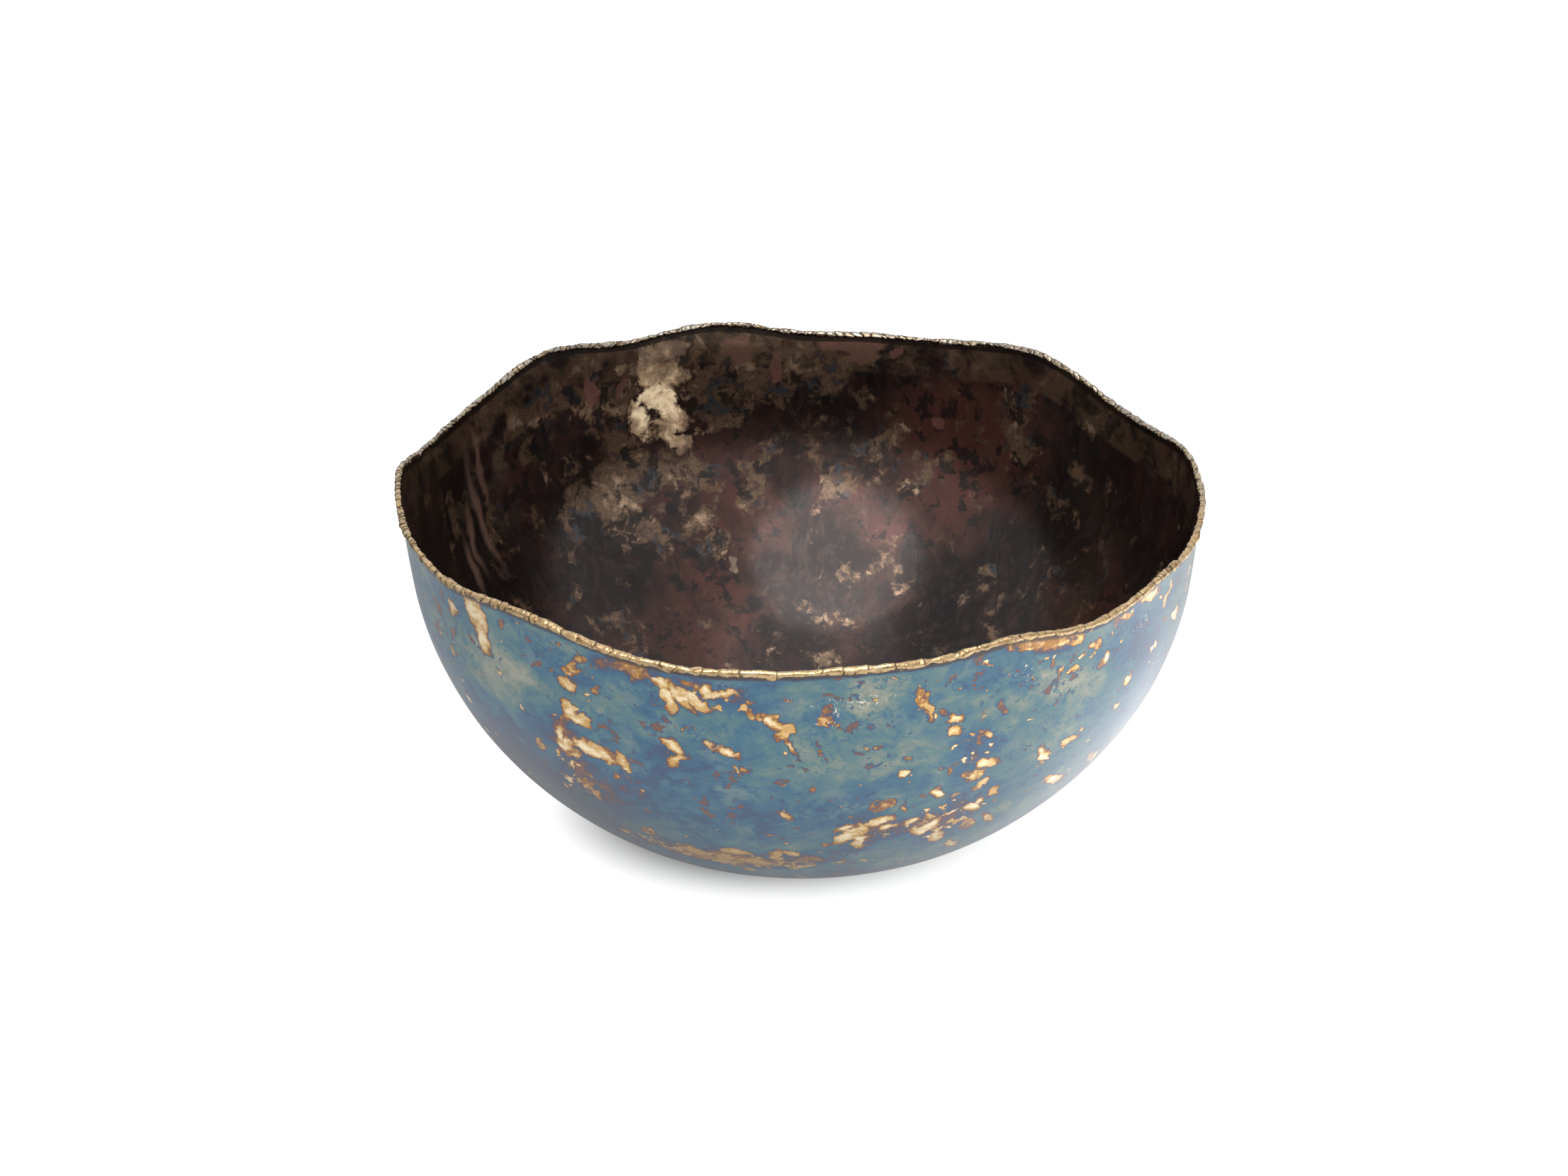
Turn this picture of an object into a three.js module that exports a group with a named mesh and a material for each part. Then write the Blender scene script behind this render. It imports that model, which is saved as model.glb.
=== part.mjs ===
// A deep, round metal serving bowl raised from one sheet, with a bead of filler
// metal brazed all along its hand-cut, gently waving edge.
// Millimetres, +Z up. The bowl stands at the origin on the flat of its base.

import * as THREE from 'three';

// ---- Body: half of a slightly flattened ellipsoid, stood on a small flat ----
const BODY_RADIUS = 127;          // outside of the sheet where the ellipsoid is widest
const BODY_DEPTH = 114.8;         // the ellipsoid's vertical half axis
const WIDEST_HEIGHT = 109.6;      // height of the ellipsoid's widest ring over the base
const FULLNESS = 1.045;           // over 1 makes the flank a little leaner than an ellipse
const SHEET = 1.2;                // thickness of the sheet
const BASE_FLAT_RADIUS = 36;      // the flat the bowl stands on
const SHOULDER_ANGLE = 25;        // degrees round the ellipsoid where the flat blends in

// ---- Mouth ----
const EDGE_HEIGHT = 116.6;        // the cut edge of the sheet, before its swells
const SWELL_START = 55;           // the wall follows the waving edge from here up
const FLARE = 2;                  // how far the lip turns out
const FLARE_START = 97;
const LEAN = 0.75;                // how far the mouth sits off centre, towards -X
const LEAN_START = 60;

// The edge was cut by hand: each swell lifts it, or drops it, around one direction.
// at and spread are degrees round the bowl from +X towards +Y.
const SWELLS = [
  { at: 10, rise: 2.3, spread: 8 },
  { at: 34, rise: -3.8, spread: 15 },
  { at: 50, rise: 5.8, spread: 13 },
  { at: 89, rise: -1, spread: 6 },
  { at: 105, rise: 4.5, spread: 11 },
  { at: 132, rise: 6.8, spread: 11 },
  { at: 159, rise: -2, spread: 12 },
  { at: 180, rise: 5.7, spread: 9 },
  { at: 198, rise: 2.7, spread: 12 },
  { at: 229, rise: 5.6, spread: 15 },
  { at: 281, rise: 2.5, spread: 19 },
  { at: 299, rise: 3.8, spread: 8 },
  { at: 329, rise: 2.2, spread: 8 },
  { at: 352, rise: 2.4, spread: 7 },
];

// ---- Bead ----
const BEAD_RADIUS = 1.35;
const BEAD_GAP = 0.3;             // kept between the sheet's edge and the bead

// ---- Mesh density ----
const SEGMENTS = 120;             // steps round the bowl, shared by sheet and bead
const FLANK_STEPS = 13;
const SHOULDER_STEPS = 3;
const LIP_STEPS = 3;
const BEAD_SIDES = 10;

const radians = THREE.MathUtils.degToRad;

// Angle between two directions, wrapped to -180..180 degrees.
function turnBetween(a, b) {
  return THREE.MathUtils.euclideanModulo(a - b + 180, 360) - 180;
}

// Height that the hand-cut edge gains in one direction.
function swell(degrees) {
  let height = 0;
  for (const { at, rise, spread } of SWELLS) {
    height += rise * Math.exp(-((turnBetween(degrees, at) / spread) ** 2));
  }
  return height;
}

// Outside radius of the plain body at a height, before flare and lean.
function wallRadius(z) {
  const cosine = THREE.MathUtils.clamp((WIDEST_HEIGHT - z) / BODY_DEPTH, 0, 1);
  return BODY_RADIUS * Math.sqrt(1 - cosine * cosine) ** FULLNESS;
}

// How far the wall stands out of the plain body, at a height before its swells.
function lipOffset(degrees, z) {
  const flare = Math.max(0, (z - FLARE_START) / (EDGE_HEIGHT - FLARE_START));
  const lean = Math.max(0, (z - LEAN_START) / (EDGE_HEIGHT - LEAN_START));
  return FLARE * flare ** 2 - LEAN * lean ** 2 * Math.cos(radians(degrees));
}

// Moves one vertex of a revolved shape so that its top follows the waving edge
// and its radius stays on the body.
function followEdge(vertex) {
  const degrees = THREE.MathUtils.radToDeg(Math.atan2(vertex.y, vertex.x));
  const radius = Math.hypot(vertex.x, vertex.y);
  const share = THREE.MathUtils.smoothstep(vertex.z, SWELL_START, EDGE_HEIGHT);
  const z = vertex.z + swell(degrees) * share;
  const moved = radius + wallRadius(z) - wallRadius(vertex.z) + lipOffset(degrees, vertex.z);
  const scale = radius > 0 ? moved / radius : 1;
  vertex.set(vertex.x * scale, vertex.y * scale, z);
}

function bendToEdge(geometry) {
  const position = geometry.attributes.position;
  const vertex = new THREE.Vector3();
  for (let i = 0; i < position.count; i += 1) {
    vertex.fromBufferAttribute(position, i);
    followEdge(vertex);
    position.setXYZ(i, vertex.x, vertex.y, vertex.z);
  }
  geometry.computeVertexNormals();
  return geometry;
}

// One face of the sheet from the axis to the edge, inset from the outside.
function sheetProfile(inset) {
  const radius = BODY_RADIUS - inset;
  const depth = BODY_DEPTH - inset;
  const join = radians(SHOULDER_ANGLE);
  const joinPoint = new THREE.Vector2(
    radius * Math.sin(join) ** FULLNESS,
    WIDEST_HEIGHT - depth * Math.cos(join),
  );
  const slope = (depth * Math.sin(join))
    / (radius * FULLNESS * Math.sin(join) ** (FULLNESS - 1) * Math.cos(join));
  const corner = new THREE.Vector2(joinPoint.x - (joinPoint.y - inset) / slope, inset);
  const shoulder = new THREE.QuadraticBezierCurve(
    new THREE.Vector2(BASE_FLAT_RADIUS, inset),
    corner,
    joinPoint,
  );

  const points = [new THREE.Vector2(0, inset), ...shoulder.getPoints(SHOULDER_STEPS)];
  for (let i = 1; i <= FLANK_STEPS; i += 1) {
    const angle = join + (Math.PI / 2 - join) * (i / FLANK_STEPS);
    points.push(new THREE.Vector2(
      radius * Math.sin(angle) ** FULLNESS,
      WIDEST_HEIGHT - depth * Math.cos(angle),
    ));
  }
  for (let i = 1; i <= LIP_STEPS; i += 1) {
    const z = THREE.MathUtils.lerp(WIDEST_HEIGHT, EDGE_HEIGHT, i / LIP_STEPS);
    points.push(new THREE.Vector2(radius, z));
  }
  return points;
}

// The raised sheet: outside up, over the cut edge, and back down the inside.
function bowlShell() {
  const profile = [...sheetProfile(0), ...sheetProfile(SHEET).reverse()];
  const geometry = new THREE.LatheGeometry(profile, SEGMENTS);
  geometry.rotateX(Math.PI / 2);
  const material = new THREE.MeshStandardMaterial({
    color: 0x5a6f7d,
    roughness: 0.2,
    metalness: 0.9,
    name: 'patinated_sheet',
  });
  const mesh = new THREE.Mesh(bendToEdge(geometry), material);
  mesh.name = 'bowl_shell';
  return mesh;
}

// The brazed bead that runs round on top of the cut edge.
function rimBead() {
  const ringRadius = BODY_RADIUS - SHEET / 2;
  const geometry = new THREE.TorusGeometry(ringRadius, BEAD_RADIUS, BEAD_SIDES, SEGMENTS);
  geometry.translate(0, 0, EDGE_HEIGHT + BEAD_GAP + BEAD_RADIUS);
  const material = new THREE.MeshStandardMaterial({
    color: 0xcdb98c,
    roughness: 0.25,
    metalness: 1,
    name: 'brazed_bead',
  });
  const mesh = new THREE.Mesh(bendToEdge(geometry), material);
  mesh.name = 'rim_bead';
  return mesh;
}

const bowl = new THREE.Group();
bowl.add(bowlShell(), rimBead());

export default bowl;
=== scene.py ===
"""A spun metal serving bowl with a torch-coloured film on its sheet and a brazed bead on its edge.

The sheet and the bead are built on the CAD model's own sections, so they keep its sizes. The
colours outside are one number, the film's thickness, which a ramp turns into the run of temper
colours from bare brass to sage. Lengths are in millimetres until a mesh, a light or the camera
is made. Azimuths round the bowl are degrees from the front, which is -Y, growing towards +X.
"""

import math

import bpy
import numpy as np
from mathutils import Matrix, Vector, noise


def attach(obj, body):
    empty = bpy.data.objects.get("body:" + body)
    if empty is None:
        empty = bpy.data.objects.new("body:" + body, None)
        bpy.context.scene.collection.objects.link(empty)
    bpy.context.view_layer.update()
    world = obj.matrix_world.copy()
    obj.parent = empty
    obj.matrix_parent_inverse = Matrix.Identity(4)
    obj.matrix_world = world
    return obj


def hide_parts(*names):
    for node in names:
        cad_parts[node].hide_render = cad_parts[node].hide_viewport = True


MM = 0.001

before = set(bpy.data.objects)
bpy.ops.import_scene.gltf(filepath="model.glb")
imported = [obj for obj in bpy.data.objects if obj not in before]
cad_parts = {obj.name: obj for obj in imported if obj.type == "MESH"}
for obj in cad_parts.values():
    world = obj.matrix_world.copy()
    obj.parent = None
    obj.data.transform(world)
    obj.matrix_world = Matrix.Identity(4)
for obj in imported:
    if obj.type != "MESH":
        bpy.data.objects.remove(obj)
bpy.context.view_layer.update()

rng = np.random.default_rng(7)


# --- The CAD sections ---

# The CAD model has a column of points every so many degrees.
COLUMN_STEP = 3
COLUMNS = 360 // COLUMN_STEP
# The height on the axis from which every pair of outer and inner points lies in one direction.
CURVE_CENTRE = 109.6
# Points closer to the axis than this belong to no column.
AXIS_RADIUS = 0.01
# Decimals of a millimetre that tell two points apart.
POINT_DECIMALS = 3


def node_points(name):
    """A CAD node's separate points, in millimetres."""
    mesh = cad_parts[name].data
    flat = np.empty(len(mesh.vertices) * 3, np.float32)
    mesh.vertices.foreach_get("co", flat)
    return np.unique(np.round(flat.reshape(-1, 3).astype(float) / MM, POINT_DECIMALS), axis=0)


def node_columns(name):
    """A CAD node's points as (radius, height), one array for each column from +X towards +Y."""
    points = node_points(name)
    radius = np.hypot(points[:, 0], points[:, 1])
    points, radius = points[radius > AXIS_RADIUS], radius[radius > AXIS_RADIUS]
    angle = np.degrees(np.arctan2(points[:, 1], points[:, 0]))
    column = np.round(angle / COLUMN_STEP).astype(int) % COLUMNS
    section = np.column_stack([radius, points[:, 2]])
    return [section[column == k] for k in range(COLUMNS)]


def shell_faces():
    """The shell's outer and inner face, as [column, level, (radius, height)] from axis to edge."""
    outer, inner = [], []
    for section in node_columns("bowl_shell"):
        turn = np.arctan2(section[:, 1] - CURVE_CENTRE, section[:, 0])
        pairs = section[np.argsort(turn)].reshape(-1, 2, 2)
        reach = np.hypot(pairs[:, :, 0], pairs[:, :, 1] - CURVE_CENTRE)
        far = reach.argmax(axis=1)
        rows = np.arange(len(pairs))
        outer.append(pairs[rows, far])
        inner.append(pairs[rows, 1 - far])
    floor = np.zeros((COLUMNS, 1, 2))
    outer, inner = np.array(outer), np.array(inner)
    inner_floor = floor + [0, inner[:, 0, 1].min()]
    return np.concatenate([floor, outer], axis=1), np.concatenate([inner_floor, inner], axis=1)


def resample(grid, places, wraps=False):
    """Catmull-Rom values of grid at fractional places along its first axis."""
    last = len(grid) - 1
    base = np.floor(places).astype(int)
    t = (places - base).reshape((-1,) + (1,) * (grid.ndim - 1))
    a, b, c, d = (
        grid[(base + k) % (last + 1)] if wraps else grid[np.clip(base + k, 0, last)]
        for k in (-1, 0, 1, 2)
    )
    bend = 2 * a - 5 * b + 4 * c - d
    twist = 3 * b - 3 * c + d - a
    return 0.5 * (2 * b + (c - a) * t + bend * t**2 + twist * t**3)


def smoothstep(x, low, high):
    t = np.clip((x - low) / (high - low), 0, 1)
    return t * t * (3 - 2 * t)


def make_mesh(name, points, faces, slots, sharp=None):
    """A smooth-shaded mesh object from points in millimetres. Slots gives each face's material."""
    mesh = bpy.data.meshes.new(name)
    mesh.from_pydata((points * MM).tolist(), [], faces)
    mesh.polygons.foreach_set("material_index", slots)
    mesh.shade_smooth()
    if sharp is not None:
        ends = np.empty(len(mesh.edges) * 2, np.int32)
        mesh.edges.foreach_get("vertices", ends)
        both = np.isin(ends.reshape(-1, 2), sharp).all(axis=1)
        mesh.attributes.new("sharp_edge", "BOOLEAN", "EDGE").data.foreach_set("value", both)
    mesh.validate()
    obj = bpy.data.objects.new(name, mesh)
    bpy.context.scene.collection.objects.link(obj)
    return obj


def point_attribute(obj, name, values):
    """A number for each point, which the materials read by name."""
    attribute = obj.data.attributes.new(name, "FLOAT", "POINT")
    attribute.data.foreach_set("value", np.ascontiguousarray(values, np.float32).ravel())


# --- The sheet ---

SHELL_COLUMNS = 432
ROW_STEP = 2.0
# Points made along the middle section for each of its levels, to measure its length.
FINE_POINTS = 40
# How far the sheet runs on under the bead.
EDGE_TUCK = 1.3
# The sheet's relief, as (size, depth). It fades between these levels up from the foot, and
# between these levels down from the edge.
RELIEF = ((52, 0.3), (21, 0.1))
RELIEF_STARTS = (2, 6)
RELIEF_ENDS = (4, 1.5)
# The corner where the flat of the base meets the wall is eased over this many rows, by
# averaging this many times.
FOOT_ROWS = 36
FOOT_EASING = 12
# The "below edge" value of the two points on the axis: anything far from the edge.
POLE_BELOW_EDGE = 200

outer_face, inner_face = shell_faces()
LEVELS = outer_face.shape[1]


def face_grid(face, columns, levels):
    """A face's sections at any columns and levels, as [level, column, (radius, height)]."""
    by_column = resample(face, columns * len(face) / 360, wraps=True)
    return resample(by_column.transpose(1, 0, 2), levels)


def to_xyz(section, columns):
    turn = np.radians(columns)
    radius = section[..., 0]
    return np.stack([radius * np.cos(turn), radius * np.sin(turn), section[..., 1]], axis=-1)


def even_levels():
    """Fractional levels whose rows lie ROW_STEP apart on the middle section, up to the edge."""
    fine = np.linspace(0, LEVELS - 1, FINE_POINTS * LEVELS)
    middle = resample(outer_face.mean(axis=0), fine)
    run = np.concatenate([[0], np.cumsum(np.hypot(*np.diff(middle, axis=0).T))])
    rows = int(run[-1] / ROW_STEP)
    return np.interp(np.linspace(0, run[-1], rows + 1)[1:], run, fine)


def ease_foot(face):
    """Rounds a face's corner at the foot, averaging each row with its neighbours."""
    for _ in range(FOOT_EASING):
        below, here, above = face[: FOOT_ROWS - 1], face[1:FOOT_ROWS], face[2 : FOOT_ROWS + 1]
        face[1:FOOT_ROWS] = (below + 2 * here + above) / 4


def relief(points, levels):
    """How far the hand-worked sheet stands off its true curve: not at all at foot and edge."""
    off = np.zeros(points.shape[:2])
    for scale, depth in RELIEF:
        flat = [noise.noise(Vector(p) / scale) for p in points.reshape(-1, 3)]
        off += depth * np.array(flat).reshape(points.shape[:2])
    last_stretch = smoothstep(levels, *(LEVELS - down for down in RELIEF_ENDS))
    hold = smoothstep(levels, *RELIEF_STARTS) * (1 - last_stretch)
    return off * hold[:, None]


def surface_normals(points):
    """Unit normals, pointing out of the bowl, of a [row, column] grid that closes on itself."""
    along = np.roll(points, -1, axis=1) - np.roll(points, 1, axis=1)
    up = np.gradient(points, axis=0)
    normal = np.cross(along, up)
    return normal / np.linalg.norm(normal, axis=-1, keepdims=True)


def ring_faces(rows, columns, start, flip):
    """Quads between the rows of a closed grid whose first point has index start."""
    grid = start + np.arange(rows * columns).reshape(rows, columns)
    right = np.roll(grid, -1, axis=1)
    quads = np.stack([grid[:-1], right[:-1], right[1:], grid[1:]], axis=-1).reshape(-1, 4)
    return (quads[:, ::-1] if flip else quads).tolist()


def shell_sections(columns):
    """Both faces as eased, tucked [level, column, (radius, height)] grids, with their levels."""
    levels = even_levels()
    sections = []
    for face in (outer_face, inner_face):
        section = face_grid(face, columns, levels)
        section[..., 1] = np.maximum(section[..., 1], face[0, 0, 1])
        ease_foot(section)
        slope = section[-1] - section[-2]
        slope /= np.linalg.norm(slope, axis=-1, keepdims=True)
        sections.append(np.concatenate([section, [section[-1] + EDGE_TUCK * slope]]))
    return sections, np.append(levels, LEVELS - 1)


def make_shell():
    """The sheet as one closed skin: outer face in the first material, inner in the second."""
    columns = np.arange(SHELL_COLUMNS) * 360 / SHELL_COLUMNS
    sections, levels = shell_sections(columns)
    outer, inner = (to_xyz(section, columns) for section in sections)
    offset = surface_normals(outer) * relief(outer, levels)[..., None]
    outer, inner = outer + offset, inner + offset

    rows, count = len(levels), outer.shape[0] * outer.shape[1]
    poles = np.array([[0, 0, outer_face[0, 0, 1]], [0, 0, inner_face[0, 0, 1]]])
    points = np.concatenate([outer.reshape(-1, 3), inner.reshape(-1, 3), poles])
    outer_pole, inner_pole = 2 * count, 2 * count + 1
    around = np.arange(SHELL_COLUMNS)
    after = np.roll(around, -1)
    top = (rows - 1) * SHELL_COLUMNS
    across_edge = [top + around, top + after, count + top + after, count + top + around]
    outside = ring_faces(rows, SHELL_COLUMNS, 0, False)
    outside += [[outer_pole, b, a] for a, b in zip(around, after)]
    outside += np.stack(across_edge, 1).tolist()
    inside = ring_faces(rows, SHELL_COLUMNS, count, True)
    inside += [[inner_pole, count + a, count + b] for a, b in zip(around, after)]
    slots = [0] * len(outside) + [1] * len(inside)
    edge_points = np.concatenate([top + around, count + top + around])
    shell = make_mesh("patinated_bowl", points, outside + inside, slots, sharp=edge_points)

    steps = np.linalg.norm(np.diff(outer, axis=0), axis=-1)
    to_edge = np.cumsum(steps[::-1], axis=0)[::-1]
    below_edge = (np.concatenate([to_edge, np.zeros((1, SHELL_COLUMNS))]) - EDGE_TUCK).ravel()
    pole_values = [POLE_BELOW_EDGE] * 2
    point_attribute(shell, "below edge", np.concatenate([below_edge, below_edge, pole_values]))
    return shell


# Steps used to find a place on a wall and its directions: levels tried, degrees, levels.
WALL_SAMPLES = 400
WALL_STEP_AROUND = 0.5
WALL_STEP_UP = 0.05


def on_wall(face, azimuth, height):
    """A point of a face at an azimuth and a height, with its along, up and outward directions."""
    column = np.array([(azimuth + 270) % 360.0])
    levels = np.linspace(2, LEVELS - 1, WALL_SAMPLES)
    section = face_grid(face, column, levels)[:, 0]
    level = np.interp(height, section[:, 1], levels)
    columns = column + np.array([0, WALL_STEP_AROUND])
    spots = to_xyz(face_grid(face, columns, np.array([level, level + WALL_STEP_UP])), columns)
    place = Vector(spots[0, 0])
    along = (Vector(spots[0, 1]) - place).normalized()
    up = (Vector(spots[1, 0]) - place).normalized()
    out = along.cross(up).normalized()
    return place, along, out.cross(along), out


# --- The bead ---

BEAD_RINGS = 3000
BEAD_SIDES = 18
BEAD_RADIUS = 1.06
BEAD_LIFT = 0.15
BEAD_HEIGHT_RATIO = 0.95
# A ripple's typical length is short at the sides and the back, and longer in front: the
# short length, the extra length, the azimuth of the longest and how far round they reach.
RIPPLE_LENGTHS = (2.2, 5.0, 4, 44)
# One ripple's length over the typical length, its joint's slant, and its extra swell.
RIPPLE_RANGE = (0.4, 1.8)
SLANT_DEVIATION = 1.3
SWELL_RANGE = (-0.12, 0.22)
SLANT_TURN = 0.6
# A ripple swells along its length by this power, and by this share of the radius.
SWELL_POWER = 1.6
SWELL_SHARE = 0.09
# Joints between ripples grow wider and deeper away from the front, over this many degrees.
# Their depth is a base, a growth away from the front, and some deep ones picked by a wave.
JOINT_WIDTH = 0.26
JOINT_WIDENING = 0.7
JOINT_FRONT = 70
JOINT_DEPTH = 0.17
JOINT_DEPTHS = (0.15, 0.8, 1.6)
JOINT_WAVE = 7.3
JOINT_WAVE_POWER = 4
# Noise along the bead, as (size, seed), and how much it changes the shape.
LUMPS, LUMP_SHARE = (2.4, 5), 0.24
BUMPS, BUMP_HEIGHT = (0.9, 23), 0.09
SLOW_TWIST, SLOW_TWIST_ANGLE = (16, 11), 3.2
QUICK_TWIST, QUICK_TWIST_ANGLE = (5, 17), 1.2
WANDERS, WANDER_REACH = ((6, 31), (6, 37), (6, 43)), 0.3
OVALNESS = 0.15
SAG = 0.12
# Painted reflection: the side of the bead that keeps a dark brown line along it, standing in for
# the dark band that a polished tube reflects, in degrees up from level, both outside and inside,
# and how much the lumps move that line.
DARK_REFLECTION_LINE = 27
DARK_REFLECTION_LINE_WANDER = 0.1
# Painted shade: how much the underside and the dents are darkened as if shaded, and the most that
# this shade and the dark joints may reach.
UNDERSIDE_SHADE = 0.9
DENT_SHADE = 1.2
DEEPEST_JOINT_AND_SHADE = 1.5
# Where braze ran down before it froze: (azimuth, drop, half width).
DRIPS = (
    (-59, 0.7, 1.6), (-46, 0.9, 1.4), (-39, 0.4, 2.2), (-22, 0.5, 2.4), (-18, 0.8, 1.6),
    (-4, 1.5, 2.4), (9.5, 0.5, 1.8), (31, 0.5, 2.5),
)


def bead_centres():
    """The middle of the CAD bead's section for each column, as (radius, height)."""
    return np.array([section.mean(axis=0) for section in node_columns("rim_bead")])


def ripple_length(azimuth):
    """Typical length of one ripple of braze at an azimuth."""
    short, extra, longest_at, reach = RIPPLE_LENGTHS
    return short + extra * math.exp(-(((azimuth - longest_at) / reach) ** 2))


def ripples(run, azimuth):
    """Where each ripple starts along the run, how far its joint slants and how much it swells."""
    total = run[-1] + run[1]
    starts, slants, swells = [0.0], [], []
    while starts[-1] < total:
        here = azimuth[min(np.searchsorted(run, starts[-1]), len(run) - 1)]
        starts.append(starts[-1] + ripple_length(here) * rng.uniform(*RIPPLE_RANGE))
        slants.append(rng.normal(0, SLANT_DEVIATION))
        swells.append(rng.uniform(*SWELL_RANGE))
    return np.array(starts) * total / starts[-1], np.array(slants), np.array(swells)


def ripple_form(path, azimuth, sides):
    """For each point of the bead: closeness to a joint, the joint's depth, and the swell there."""
    steps = np.linalg.norm(np.roll(path, -1, axis=0) - path, axis=1)
    run = np.concatenate([[0], np.cumsum(steps)[:-1]])
    starts, slants, swells = ripples(run, azimuth)
    slant = np.interp(run, starts[:-1], slants)
    along = np.mod(run[:, None] + slant[:, None] * np.sin(sides + SLANT_TURN), starts[-1])
    ripple = np.clip(np.searchsorted(starts, along, side="right") - 1, 0, len(swells) - 1)
    into = along - starts[ripple]
    length = starts[ripple + 1] - starts[ripple]
    away = 1 - np.exp(-((azimuth / JOINT_FRONT) ** 2))[:, None]
    width = JOINT_WIDTH * (1 + JOINT_WIDENING * away)
    joint = np.exp(-((np.minimum(into, length - into) / width) ** 2))
    base, growth, deep = JOINT_DEPTHS
    picked = np.sin(JOINT_WAVE * ripple) ** JOINT_WAVE_POWER
    depth = JOINT_DEPTH * (base + growth * away + deep * picked)
    swell = (into / length) ** SWELL_POWER
    return joint, depth, (swells[ripple] * swell + SWELL_SHARE * swell)


def across(path, turn):
    """Unit directions square to a closed path: away from the bowl's axis, and upward."""
    tangent = np.roll(path, -1, axis=0) - np.roll(path, 1, axis=0)
    tangent /= np.linalg.norm(tangent, axis=1, keepdims=True)
    outward = to_xyz(np.tile([1.0, 0.0], (len(path), 1)), turn)
    outward -= tangent * (outward * tangent).sum(axis=1, keepdims=True)
    outward /= np.linalg.norm(outward, axis=1, keepdims=True)
    upward = np.cross(outward, tangent)
    upward *= np.sign(upward[:, 2:3])
    return outward[:, None], upward[:, None]


def noise_along(points, size, seed):
    return np.array([noise.noise(Vector(p) / size + Vector((seed, 0, 0))) for p in points])


def tube_faces(rings, sides):
    """Quads of a closed tube whose points are numbered ring by ring."""
    index = np.arange(rings * sides).reshape(rings, sides)
    ahead, beside = np.roll(index, -1, axis=0), np.roll(index, -1, axis=1)
    both = np.roll(ahead, -1, axis=1)
    return np.stack([index, ahead, both, beside], axis=-1).reshape(-1, 4).tolist()


def make_bead():
    """A run of frozen ripples along the edge, each one swelling until the next takes over."""
    turn = np.arange(BEAD_RINGS) * 360 / BEAD_RINGS
    centre = resample(bead_centres(), turn / COLUMN_STEP, wraps=True) + [0, BEAD_LIFT]
    path = to_xyz(centre, turn)
    azimuth = (turn + 90 + 180) % 360 - 180
    sides = np.arange(BEAD_SIDES) * 2 * math.pi / BEAD_SIDES
    joint, depth, swell = ripple_form(path, azimuth, sides)

    lumps = noise_along(path, *LUMPS)[:, None]
    slow, quick = noise_along(path, *SLOW_TWIST), noise_along(path, *QUICK_TWIST)
    twist = (SLOW_TWIST_ANGLE * slow + QUICK_TWIST_ANGLE * quick)[:, None]
    radius = BEAD_RADIUS * (1 + swell + LUMP_SHARE * lumps)
    radius += OVALNESS * np.cos(2 * (sides - twist)) - depth * joint
    underside = np.maximum(0, -np.sin(sides))
    sag = SAG * underside * (1 + 2 * lumps)
    for spot, drop, width in DRIPS:
        from_spot = np.radians(azimuth - spot) * centre[:, 0]
        sag += (drop * np.exp(-((from_spot / width) ** 2)))[:, None] * underside

    outward, upward = across(path, turn)
    reach = (radius * np.cos(sides))[..., None]
    lift = (radius * np.sin(sides) * BEAD_HEIGHT_RATIO - sag)[..., None]
    wander = WANDER_REACH * np.stack([noise_along(path, *axis) for axis in WANDERS], axis=1)
    points = (path + wander)[:, None] + outward * reach + upward * lift
    bumps = noise_along(points.reshape(-1, 3), *BUMPS).reshape(radius.shape)
    rays = outward * np.cos(sides)[:, None] + upward * np.sin(sides)[:, None]
    points += rays * (BUMP_HEIGHT * bumps)[..., None]
    faces = tube_faces(BEAD_RINGS, BEAD_SIDES)
    bead = make_mesh("brazed_rim", points.reshape(-1, 3), faces, [0] * len(faces))

    # Dark joints, with painted shade on the underside and in the dents.
    dents = DENT_SHADE * np.maximum(0, -bumps) * (1 + joint)
    joints_and_shade = joint * depth / JOINT_DEPTH + UNDERSIDE_SHADE * underside**2 + dents
    point_attribute(bead, "joints_and_shade", np.clip(joints_and_shade, 0, DEEPEST_JOINT_AND_SHADE))
    # Painted reflection: the line along each side of the bead where a polished tube's dark band is
    # painted.
    line = math.radians(DARK_REFLECTION_LINE)
    towards_line = np.maximum(np.cos(sides - line), np.cos(sides - (math.pi - line)))
    point_attribute(bead, "dark reflection line", towards_line + DARK_REFLECTION_LINE_WANDER * lumps)
    return bead


# --- Node shorthand ---


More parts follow.
